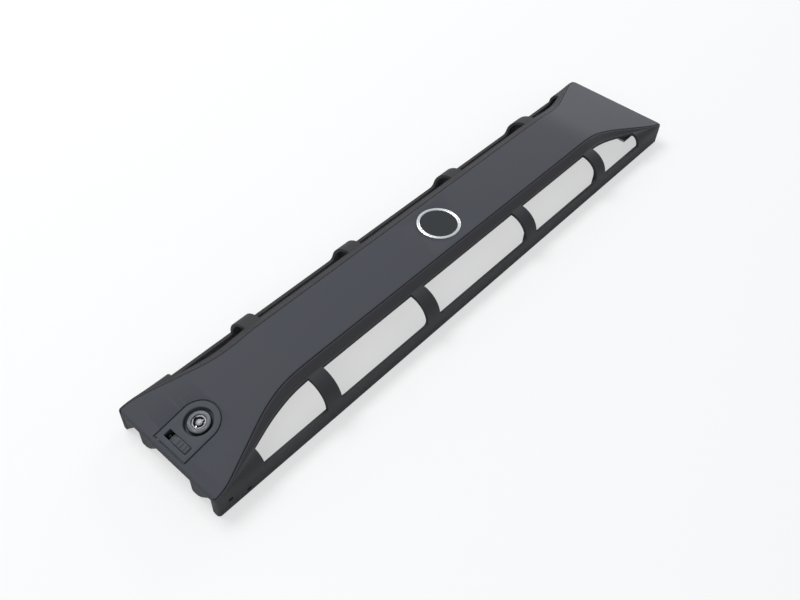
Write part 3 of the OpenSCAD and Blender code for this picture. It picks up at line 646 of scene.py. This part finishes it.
class BEZEL_OT_frame(bpy.types.Operator):
    """Make the moulded frame: the arched skin with its windows, ribs, end walls and posts"""
    bl_idname = "bezel.frame"
    bl_label = "Moulded frame"
    arc_steps = 22
    window_steps = 8

    def skin(self, bm):
        rings = []
        for x in stations(END_X):
            side = outer_side(x, self.arc_steps)
            outline = [p for p, _ in side] + [(-p[0], p[1]) for p, _ in reversed(side)]
            radii = [r for _, r in side] + [r for _, r in reversed(side)]
            inner = list(reversed(both(inner_side(x, WALL_T, 10))))
            shape = eased(outline + inner, radii + [0.0] * len(inner))
            draw = corner_in(x, END_X)
            rings.append([(x, y - math.copysign(draw, y), z) for y, z in shape])
        loft(bm, rings)

    def window(self, bm, x0, x1, side, r):
        """A rectangular window between two struts, with round corners at the rail."""
        corners = [(x0, RAIL_Z), (x1, RAIL_Z), (x1, BAND_Z + 5), (x0, BAND_Z + 5)]
        outline = eased(corners, [r, r, 0, 0], self.window_steps)
        y0 = bevel_y(0) + WINDOW_LIP
        loft(bm, [[(x, side * y, z) for x, z in outline] for y in (y0, HALF_H + 2)])

    def end_window(self, bm, end, side):
        """A tapering window whose slanted side follows the edge of the bevel."""
        x0, count = STRUT_X[1] + STRUT_HALF, 24
        edge = [x0 + (END_WINDOW_X - x0) * i / count for i in range(count + 1)]
        outline = [(x, bevel_y(x) + WINDOW_LIP) for x in edge]
        outline += [(END_WINDOW_X, HALF_H + 2), (x0, HALF_H + 2)]
        radii = [0.0] * (count + 1) + [0.0, 0.0]
        radii[count] = 1.0
        outline = eased(outline, radii)
        loft(bm, [[(end * x, side * y, z) for x, y in outline] for z in (RAIL_Z, BAND_Z + 5)])

    def cutters(self, sizes):
        bm = bmesh.new()
        r = sizes.window_round / MM
        inner, outer = STRUT_X
        for side in (-1, 1):
            self.window(bm, -inner + STRUT_HALF, inner - STRUT_HALF, side, r)
            self.window(bm, inner + STRUT_HALF, outer - STRUT_HALF, side, r)
            self.window(bm, -outer + STRUT_HALF, -inner - STRUT_HALF, side, r)
            for end in (-1, 1):
                self.end_window(bm, end, side)
            for x, z in ((22.0, 2.6), (9.5, 7.2)):
                hole = eased([(-END_X + x - 1.5, z), (-END_X + x + 1.5, z),
                              (-END_X + x + 1.5, z + 2.4), (-END_X + x - 1.5, z + 2.4)],
                             [0.5] * 4, 3)
                loft(bm, [[(u, side * y, v) for u, v in hole]
                          for y in (HALF_H - WALL_T - 0.5, HALF_H + 1)])
        prism(bm, escutcheon(0.35), -11, 3, on_facet())
        for places in boss_places():
            for place in places:
                prism(bm, disc(2.4, count=24), -PANEL_T - DECK_T - 1, -PANEL_T + 1, place)
        for x in (-STUD_X, STUD_X):
            prism(bm, disc(1.4, (x, 0), 20), BAND_Z - 6, BAND_Z + 1)
        return bm

    def end_wall(self, bm, end, lower):
        """A wall that closes an end. lower is the path of its lower edge from +Y to -Y."""
        x = END_X - WALL_T / 2 - 0.2
        top = both(inner_side(x, WALL_T - JOIN, 10))
        slab(bm, top + list(reversed(lower)), end * x, WALL_T)

    def lobed_edge(self):
        """Lower edge of the lock's end: a slanted corner, two lobes and a narrow corner."""
        path, radii = [(39.83, 0.0), (28.83, NOTCH_Z)], [0.0, 0.8]
        for top in (24.6, -20.4):
            path += [(top, NOTCH_Z), (top, LOBE_Z), (top - 4.25, LOBE_Z), (top - 8.5, LOBE_Z + 3),
                     (top - 16.1, NOTCH_Z)]
            radii += [0.8, 1.4, 2.4, 2.4, 0.6]
        return eased(path + [(-38.0, NOTCH_Z), (-38.0, 0.0)], radii + [0.5, 0.0])

    def slotted_edge(self):
        """Lower edge of the hooks' end: two slots for the hooks' tips."""
        path = []
        for middle in (22.0, -22.0):
            path += [(middle + 5.5, 0.0), (middle + 5.5, 6.0), (middle - 5.5, 6.0),
                     (middle - 5.5, 0.0)]
        return eased(path, [0.0, 0.6, 0.6, 0.0] * 2)

    def arch(self, bm, x):
        """An arch of ribs behind a pair of struts and across the band."""
        outer = both(inner_side(x, WALL_T - JOIN, 12))
        inner = both(inner_side(x, WALL_T + RIB_D, 12))
        lift = [(y, max(z, LOBE_Z)) for y, z in outer + list(reversed(inner))]
        slab(bm, lift, x, RIB_T)

    def execute(self, context):
        bm = bmesh.new()
        self.skin(bm)
        shell = mesh_object("moulded_frame", bm)
        cut(shell, self.cutters(context.scene.bezel_sizes))
        bm = bmesh.new()
        bm.from_mesh(shell.data)
        bmesh.ops.scale(bm, vec=(1 / MM,) * 3, verts=bm.verts)
        bpy.data.objects.remove(shell)
        self.end_wall(bm, -1, self.lobed_edge())
        self.end_wall(bm, 1, self.slotted_edge())
        for x in (-STRUT_X[1], -STRUT_X[0], STRUT_X[0], STRUT_X[1]):
            self.arch(bm, x)
        under = BAND_Z - PANEL_T - DECK_T
        for y in (-17.0, 17.0):
            slab(bm, [(y - RIB_T / 2, under - RIB_D), (y + RIB_T / 2, under - RIB_D),
                      (y + RIB_T / 2, under + JOIN), (y - RIB_T / 2, under + JOIN)],
                 0.0, 2 * STRUT_X[1])
        for y in (-12.0, 12.0):
            lathe(bm, [(1.25, 8.5), (2.6, 8.5), (2.6, face_z(216) - PANEL_T - 1),
                       (1.25, face_z(216) - PANEL_T - 1)],
                  Matrix.Translation((216.0, y, 0)), 32)
        finished(mesh_object("moulded_frame", bm), "frame_plastic", "root", "frame")
        return {"FINISHED"}


class BEZEL_OT_panel(bpy.types.Operator):
    """Make the satin cover panel with its rounded edge, the lock's opening and the badge's seat"""
    bl_idname = "bezel.panel"
    bl_label = "Cover panel"
    gap = 0.3
    edge = 0.8

    def flared(self, bm, outline, steps, place=None):
        """A cutter whose outline widens through the given (height, growth) steps."""
        place = place or Matrix.Identity(4)
        loft(bm, [[place @ Vector((x, y, z)) for x, y in outline(grow)] for z, grow in steps])

    def execute(self, context):
        end = END_X - 0.2
        bm = bmesh.new()
        rings = []
        for x in stations(end):
            half, top = seat_y(x) - self.gap, face_z(x)
            past = max(0.0, abs(x) - end + self.edge)
            top -= self.edge - math.sqrt(max(0.0, self.edge ** 2 - past ** 2))
            side = [(half, face_z(x) - PANEL_T), (half, top)]
            shape = eased(both(side), [0.0, self.edge, self.edge, 0.0], 6)
            draw = corner_in(x, end)
            rings.append([(x, y - math.copysign(draw, y), z) for y, z in shape])
        loft(bm, rings)
        panel = mesh_object("cover_panel", bm)
        tools = bmesh.new()
        self.flared(tools, escutcheon, [(-6, 0.35), (-0.8, 0.35), (-0.8, 0.9), (-0.35, 0.9),
                                        (-0.12, 0.97), (0.0, 1.2), (1.0, 2.2)], on_facet())
        self.flared(tools, lambda grow: disc(BADGE_R + grow, count=128),
                    [(BAND_Z - 0.8, 0.15), (BAND_Z - 0.25, 0.15), (BAND_Z - 0.08, 0.2),
                     (BAND_Z, 0.35), (BAND_Z + 1, 1.35)])
        cut(panel, tools)
        finished(panel, "panel_plastic", "root", "front_panel")
        return {"FINISHED"}


class BEZEL_OT_badge(bpy.types.Operator):
    """Make the badge: a crowned satin ring round a plain dark face on two studs"""
    bl_idname = "bezel.badge"
    bl_label = "Badge"

    def execute(self, context):
        width, foot, top = 2.2, BAND_Z - 0.8, BAND_Z + 0.7
        inner = BADGE_R - width
        crown = [(inner + width * (0.5 - 0.5 * math.cos(math.pi * i / 10)),
                  top - 0.45 + 0.45 * math.sin(math.pi * i / 10)) for i in range(11)]
        bm = bmesh.new()
        lathe(bm, [(BADGE_R, foot), (inner, foot)] + crown, count=160)
        finished(mesh_object("badge_ring_turned", bm), "ring_metal", "root", "badge_ring")

        r = inner - 0.05
        rise = [(r, foot), (r, BAND_Z - 0.05), (r - 0.15, BAND_Z + 0.06)]
        rise += [(r * (1 - i / 6), BAND_Z + 0.06 + 0.04 * i / 6) for i in range(1, 6)]
        bm = bmesh.new()
        loft(bm, [[(q * math.cos(math.tau * i / 128), q * math.sin(math.tau * i / 128), z)
                   for i in range(128)] for q, z in rise])
        for x in (-STUD_X, STUD_X):
            prism(bm, disc(1.2, (x, 0), 24), BAND_Z - PANEL_T - DECK_T - 1.8, BAND_Z - 0.7)
        finished(mesh_object("badge_face", bm), "badge_plastic", "root", "badge_disc")
        return {"FINISHED"}


class BEZEL_OT_lock(bpy.types.Operator):
    """Make the lock's housing, latch and cover with rounded edges from their CAD nodes"""
    bl_idname = "bezel.lock"
    bl_label = "Lock and latch"
    parts = (
        ("lock_housing", 0.22, "housing_plastic", "root"),
        ("latch_cover", 0.18, "frame_plastic", "root"),
        ("release_slider", 0.22, "button_plastic", "latch"),
        ("latch_hook", 0.12, "zinc_steel", "latch"),
        ("lock_barrel", 0.15, "lock_metal", "root"),
        ("lock_nut", 0.12, "nut_brass", "root"),
        ("lock_plug", 0.10, "plug_metal", "lock"),
        ("lock_cam", 0.15, "zinc_steel", "lock"),
        ("hook_plate", 0.15, "zinc_steel", "root"),
    )

    def execute(self, context):
        for node, radius, slot, body in self.parts:
            finished(softened(node, radius), slot, body, node)
        return {"FINISHED"}


# ---------------------------------------------------------------- what repeats

def geometry_tree(name, numbers):
    """A geometry node tree with a mesh input and output and named number inputs."""
    tree = bpy.data.node_groups.new(name, "GeometryNodeTree")
    tree.interface.new_socket("Geometry", in_out="INPUT", socket_type="NodeSocketGeometry")
    tree.interface.new_socket("Geometry", in_out="OUTPUT", socket_type="NodeSocketGeometry")
    tree.interface.new_socket("Finish", in_out="INPUT", socket_type="NodeSocketMaterial")
    for label, default in numbers:
        socket = tree.interface.new_socket(label, in_out="INPUT", socket_type="NodeSocketFloat")
        socket.default_value = default
    return tree, tree.nodes.new("NodeGroupInput"), tree.nodes.new("NodeGroupOutput")


def spread_and_ended(tree, inlet, outlet, made):
    """Puts what was made on each point, turned by the attribute turn, and ends the tree."""
    link = tree.links.new
    spread = tree.nodes.new("GeometryNodeInstanceOnPoints")
    turn = tree.nodes.new("GeometryNodeInputNamedAttribute")
    turn.data_type = "FLOAT_VECTOR"
    turn.inputs["Name"].default_value = "turn"
    as_turn = tree.nodes.new("FunctionNodeEulerToRotation")
    real = tree.nodes.new("GeometryNodeRealizeInstances")
    paint = tree.nodes.new("GeometryNodeSetMaterial")
    link(turn.outputs["Attribute"], as_turn.inputs[0])
    link(inlet.outputs["Geometry"], spread.inputs["Points"])
    link(made, spread.inputs["Instance"])
    link(as_turn.outputs[0], spread.inputs["Rotation"])
    link(spread.outputs["Instances"], real.inputs[0])
    link(real.outputs[0], paint.inputs["Geometry"])
    link(inlet.outputs["Finish"], paint.inputs["Material"])
    link(paint.outputs[0], outlet.inputs["Geometry"])


def grown(name, tree, mesh, slot, sharp=30.0, **values):
    """Runs a tree on a mesh and keeps the result as a plain object."""
    o = bpy.data.objects.new(name, mesh)
    bpy.context.scene.collection.objects.link(o)
    change = o.modifiers.new(tree.name, "NODES")
    change.node_group = tree
    for item in tree.interface.items_tree:
        if item.in_out == "INPUT" and item.name == "Finish":
            change[item.identifier] = finish_of(slot)
        elif item.in_out == "INPUT" and item.name.replace(" ", "_") in values:
            change[item.identifier] = values[item.name.replace(" ", "_")]
    settled(o, sharp)
    return o


def stations_mesh(name, places):
    """A mesh of loose points with each place's turn in the attribute turn."""
    mesh = bpy.data.meshes.new(name)
    mesh.from_pydata([tuple(p.translation * MM) for p in places], [], [])
    turn = mesh.attributes.new("turn", "FLOAT_VECTOR", "POINT")
    for i, p in enumerate(places):
        turn.data[i].vector = p.to_euler()
    return mesh


def screw_tree():
    """Pan head screws with a crowned head and a cross recess, one at each point."""
    name = "Cross Recess Screws"
    if name in bpy.data.node_groups:
        return bpy.data.node_groups[name]
    tree, inlet, outlet = geometry_tree(name, [
        ("Head Radius", 0.003), ("Head Height", 0.0013), ("Shank Radius", 0.0012),
        ("Shank Length", 0.0027), ("Recess Length", 0.0032), ("Recess Width", 0.0006)])
    link = tree.links.new

    def maths(operation, a, b):
        n = tree.nodes.new("ShaderNodeMath")
        n.operation = operation
        for socket, value in zip(n.inputs, (a, b)):
            if isinstance(value, (int, float)):
                socket.default_value = value
            else:
                link(value, socket)
        return n.outputs[0]

    def vector(x, y, z):
        n = tree.nodes.new("ShaderNodeCombineXYZ")
        for socket, value in zip(n.inputs, (x, y, z)):
            if isinstance(value, (int, float)):
                socket.default_value = value
            else:
                link(value, socket)
        return n.outputs[0]

    def cylinder(radius, depth, sides):
        n = tree.nodes.new("GeometryNodeMeshCylinder")
        n.inputs["Vertices"].default_value = sides
        link(radius, n.inputs["Radius"])
        link(depth, n.inputs["Depth"])
        return n.outputs["Mesh"]

    def cube(size):
        n = tree.nodes.new("GeometryNodeMeshCube")
        link(size, n.inputs["Size"])
        return n.outputs["Mesh"]

    def moved(geometry, offset):
        n = tree.nodes.new("GeometryNodeTransform")
        link(geometry, n.inputs["Geometry"])
        link(offset, n.inputs["Translation"])
        return n.outputs[0]

    head_r, head_h = inlet.outputs["Head Radius"], inlet.outputs["Head Height"]
    half = maths("MULTIPLY", head_h, 0.5)
    rim = moved(cylinder(head_r, half, 36), vector(0, 0, maths("MULTIPLY", head_h, -0.25)))
    cone = tree.nodes.new("GeometryNodeMeshCone")
    cone.inputs["Vertices"].default_value = 36
    link(maths("MULTIPLY", head_r, 0.78), cone.inputs["Radius Top"])
    link(head_r, cone.inputs["Radius Bottom"])
    link(half, cone.inputs["Depth"])
    turn_over = tree.nodes.new("GeometryNodeTransform")
    turn_over.inputs["Rotation"].default_value = (math.pi, 0, 0)
    link(cone.outputs["Mesh"], turn_over.inputs["Geometry"])
    link(vector(0, 0, maths("MULTIPLY", head_h, -0.5)), turn_over.inputs["Translation"])
    shank = moved(cylinder(inlet.outputs["Shank Radius"], inlet.outputs["Shank Length"], 20),
                  vector(0, 0, maths("MULTIPLY", inlet.outputs["Shank Length"], 0.5)))
    body = tree.nodes.new("GeometryNodeMeshBoolean")
    body.operation = "UNION"
    for part in (rim, turn_over.outputs[0], shank):
        link(part, body.inputs["Mesh 2"])
    deep = maths("MULTIPLY", head_h, 1.2)
    low = vector(0, 0, maths("MULTIPLY", head_h, -1.1))
    long, thin = inlet.outputs["Recess Length"], inlet.outputs["Recess Width"]
    recess = tree.nodes.new("GeometryNodeMeshBoolean")
    recess.operation = "DIFFERENCE"
    link(body.outputs["Mesh"], recess.inputs["Mesh 1"])
    for size in (vector(long, thin, deep), vector(thin, long, deep)):
        link(moved(cube(size), low), recess.inputs["Mesh 2"])
    spread_and_ended(tree, inlet, outlet, recess.outputs["Mesh"])
    return tree


class BEZEL_OT_screws(bpy.types.Operator):
    """Make all the screws with Geometry Nodes, each with a cross recess"""
    bl_idname = "bezel.screws"
    bl_label = "Screws"

    def row(self, name, places, length):
        return grown(name, screw_tree(), stations_mesh(name, places), "screw_steel",
                     Shank_Length=length * MM)

    def execute(self, context):
        band, ears, far = boss_places()
        back = Matrix.Translation((0, 0, -PANEL_T - DECK_T))
        panel = self.row("panel_screw_row", [p @ back for p in band + far], 2.7)
        finished(panel, "screw_steel", "root", "panel_screws")
        flange = back @ Matrix.Translation((0, 0, -2.0))
        ear = self.row("flange_screw_row", [p @ flange for p in ears], 4.7)
        finished(ear, "screw_steel", "root", "housing_screws")
        cover = [on_facet() @ Matrix.Translation((x, y, -12.5))
                 for x, y in ((-9.0, -16.0), (-9.0, 16.0), (12.5, 9.472))]
        finished(self.row("cover_screw_row", cover, 5.5), "screw_steel", "root",
                 "latch_cover_screws")
        plate = [Matrix.Translation((216.0, y, 7.0)) for y in (-12.0, 12.0)]
        finished(self.row("plate_screw_row", plate, 5.5), "screw_steel", "root",
                 "hook_plate_screws")
        tongue = [on_facet() @ Matrix.Translation((0, 0, -16.5))]
        finished(self.row("tongue_screw", tongue, 6.2), "screw_steel", "lock", "cam_screw")
        return {"FINISHED"}


class BEZEL_OT_spring(bpy.types.Operator):
    """Make the latch's compression spring with Geometry Nodes"""
    bl_idname = "bezel.spring"
    bl_label = "Latch spring"

    def tree(self):
        tree, inlet, outlet = geometry_tree("Wound Wire", [
            ("Coil Radius", 0.00145), ("Wire Radius", 0.00025), ("Turns", 8.0),
            ("Length", 0.0119)])
        link = tree.links.new
        coil = tree.nodes.new("GeometryNodeCurveSpiral")
        coil.inputs["Resolution"].default_value = 36
        link(inlet.outputs["Turns"], coil.inputs["Rotations"])
        link(inlet.outputs["Coil Radius"], coil.inputs["Start Radius"])
        link(inlet.outputs["Coil Radius"], coil.inputs["End Radius"])
        link(inlet.outputs["Length"], coil.inputs["Height"])
        wire = tree.nodes.new("GeometryNodeCurvePrimitiveCircle")
        wire.inputs["Resolution"].default_value = 10
        link(inlet.outputs["Wire Radius"], wire.inputs["Radius"])
        sweep = tree.nodes.new("GeometryNodeCurveToMesh")
        sweep.inputs["Fill Caps"].default_value = True
        link(coil.outputs[0], sweep.inputs["Curve"])
        link(wire.outputs[0], sweep.inputs["Profile Curve"])
        spread_and_ended(tree, inlet, outlet, sweep.outputs[0])
        return tree

    def execute(self, context):
        place = on_facet() @ Matrix.Translation((-15.7, -0.95, -7.7)) @ Matrix.Rotation(
            -math.pi / 2, 4, "X")
        spring = grown("wound_spring", self.tree(), stations_mesh("wound_spring", [place]),
                       "spring_steel", 60.0)
        finished(spring, "spring_steel", "root", "latch_spring")
        return {"FINISHED"}


class BEZEL_OT_pins(bpy.types.Operator):
    """Make the ring of pins in the keyway with Geometry Nodes"""
    bl_idname = "bezel.pins"
    bl_label = "Keyway pins"

    def tree(self):
        tree, inlet, outlet = geometry_tree("Keyway Pins", [
            ("Pin Radius", 0.00045), ("Pin Length", 0.0026)])
        link = tree.links.new
        pin = tree.nodes.new("GeometryNodeMeshCylinder")
        pin.inputs["Vertices"].default_value = 20
        link(inlet.outputs["Pin Radius"], pin.inputs["Radius"])
        link(inlet.outputs["Pin Length"], pin.inputs["Depth"])
        spread_and_ended(tree, inlet, outlet, pin.outputs["Mesh"])
        return tree

    def execute(self, context):
        count, reach, middle = 7, 2.75, -5.9 + 1.3
        places = []
        for i in range(count):
            a = math.pi / 2 + math.pi / count + math.tau * i / count
            places.append(on_facet() @ Matrix.Translation(
                (reach * math.cos(a), reach * math.sin(a), middle)))
        pins = grown("keyway_pins", self.tree(), stations_mesh("keyway_pins", places),
                     "pin_steel")
        finished(pins, "pin_steel", "lock", "lock_pins")
        return {"FINISHED"}


# ---------------------------------------------------------------- stage

class BEZEL_OT_stage(bpy.types.Operator):
    """Make the pale floor, the soft lamps, the surroundings and the camera"""
    bl_idname = "bezel.stage"
    bl_label = "Stage"

    def softbox(self, name, place, aim, size, power):
        lamp = bpy.data.lights.new(name, "AREA")
        lamp.shape = "RECTANGLE"
        lamp.size, lamp.size_y = size
        lamp.energy = power
        o = bpy.data.objects.new(name, lamp)
        bpy.context.scene.collection.objects.link(o)
        o.location = place
        o.rotation_euler = (Vector(aim) - Vector(place)).to_track_quat("-Z", "Y").to_euler()

    def floor_material(self):
        """Matt white card that still shows white to the camera, with the object's shadow."""
        m, tree, shader = blank_material("floor card", Roughness=0.9, Specular_IOR_Level=0.1)
        link = tree.links.new
        shader.inputs["Base Color"].default_value = (0.86, 0.86, 0.87, 1)
        glow = node_of(tree, "ShaderNodeEmission", (0, 300), Strength=1.0)
        glow.inputs["Color"].default_value = (1, 1, 1, 1)
        path = node_of(tree, "ShaderNodeLightPath", (-400, 500))
        either = node_of(tree, "ShaderNodeMath", (-200, 500), operation="MAXIMUM")
        link(path.outputs["Is Camera Ray"], either.inputs[0])
        link(path.outputs["Is Transmission Ray"], either.inputs[1])
        share = node_of(tree, "ShaderNodeMath", (0, 500), operation="MULTIPLY")
        share.inputs[1].default_value = 0.55
        link(either.outputs[0], share.inputs[0])
        mix = node_of(tree, "ShaderNodeMixShader", (300, 200))
        link(share.outputs[0], mix.inputs[0])
        link(shader.outputs[0], mix.inputs[1])
        link(glow.outputs[0], mix.inputs[2])
        link(mix.outputs[0], tree.nodes["Material Output"].inputs["Surface"])
        return m

    def execute(self, context):
        scene = context.scene
        stage = scene.bezel_stage
        half = stage.floor_size / 2
        mesh = bpy.data.meshes.new("floor")
        drop = -0.0002
        mesh.from_pydata([(-half, -half, drop), (half, -half, drop), (half, half, drop),
                          (-half, half, drop)], [], [(0, 1, 2, 3)])
        mesh.materials.append(self.floor_material())
        floor = bpy.data.objects.new("floor", mesh)
        scene.collection.objects.link(floor)

        self.softbox("key", (-0.15, 1.00, 1.60), (-0.10, 0.0, 0.0), (1.2, 0.8), stage.key_power)
        self.softbox("fill", (-1.4, -0.9, 1.2), (0.0, 0.0, 0.0), (1.0, 1.0), stage.fill_power)
        self.softbox("side", (1.7, 0.5, 0.5), (0.1, 0.0, 0.0), (0.9, 0.7), stage.fill_power)

        world = bpy.data.worlds.new("surroundings")
        world.use_nodes = True
        tree = world.node_tree
        back = tree.nodes["Background"]
        back.inputs["Strength"].default_value = stage.world_level
        back.inputs["Color"].default_value = (0.95, 0.97, 1.0, 1)
        scene.world = world

        camera = bpy.data.cameras.new("camera")
        camera.sensor_width = 36.0
        camera.lens = stage.lens
        o = bpy.data.objects.new("camera", camera)
        scene.collection.objects.link(o)
        o.location = (-0.342581, -0.249985, 0.425644)
        o.rotation_euler = (0.730920, -0.039555, -0.841682)
        scene.camera = o
        scene.view_settings.view_transform = "Standard"
        return {"FINISHED"}


class BEZEL_PT_panel(bpy.types.Panel):
    """Lists the operators and the settings in the 3D view's sidebar"""
    bl_label = "Server Bezel"
    bl_idname = "BEZEL_PT_panel"
    bl_space_type = "VIEW_3D"
    bl_region_type = "UI"
    bl_category = "Bezel"

    def draw(self, context):
        scene = context.scene
        for group in (scene.bezel_sizes, scene.bezel_finishes, scene.bezel_stage):
            box = self.layout.box()
            for name in group.bl_rna.properties.keys():
                if name not in {"rna_type", "name"}:
                    box.prop(group, name)
        for operator in OPERATORS:
            self.layout.operator(operator.bl_idname)


OPERATORS = (BEZEL_OT_finishes, BEZEL_OT_frame, BEZEL_OT_panel, BEZEL_OT_badge, BEZEL_OT_lock,
             BEZEL_OT_screws, BEZEL_OT_spring, BEZEL_OT_pins, BEZEL_OT_stage)
GROUPS = {"bezel_sizes": BezelSizes, "bezel_finishes": BezelFinishes, "bezel_stage": BezelStage}


def register():
    for cls in (*GROUPS.values(), *OPERATORS, BEZEL_PT_panel):
        bpy.utils.register_class(cls)
    for name, cls in GROUPS.items():
        setattr(bpy.types.Scene, name, bpy.props.PointerProperty(type=cls))


def unregister():
    for name in GROUPS:
        delattr(bpy.types.Scene, name)
    for cls in reversed((*GROUPS.values(), *OPERATORS, BEZEL_PT_panel)):
        bpy.utils.unregister_class(cls)


def main():
    register()
    for operator in OPERATORS:
        group, name = operator.bl_idname.split(".")
        getattr(getattr(bpy.ops, group), name)()


if __name__ == "__main__":
    main()
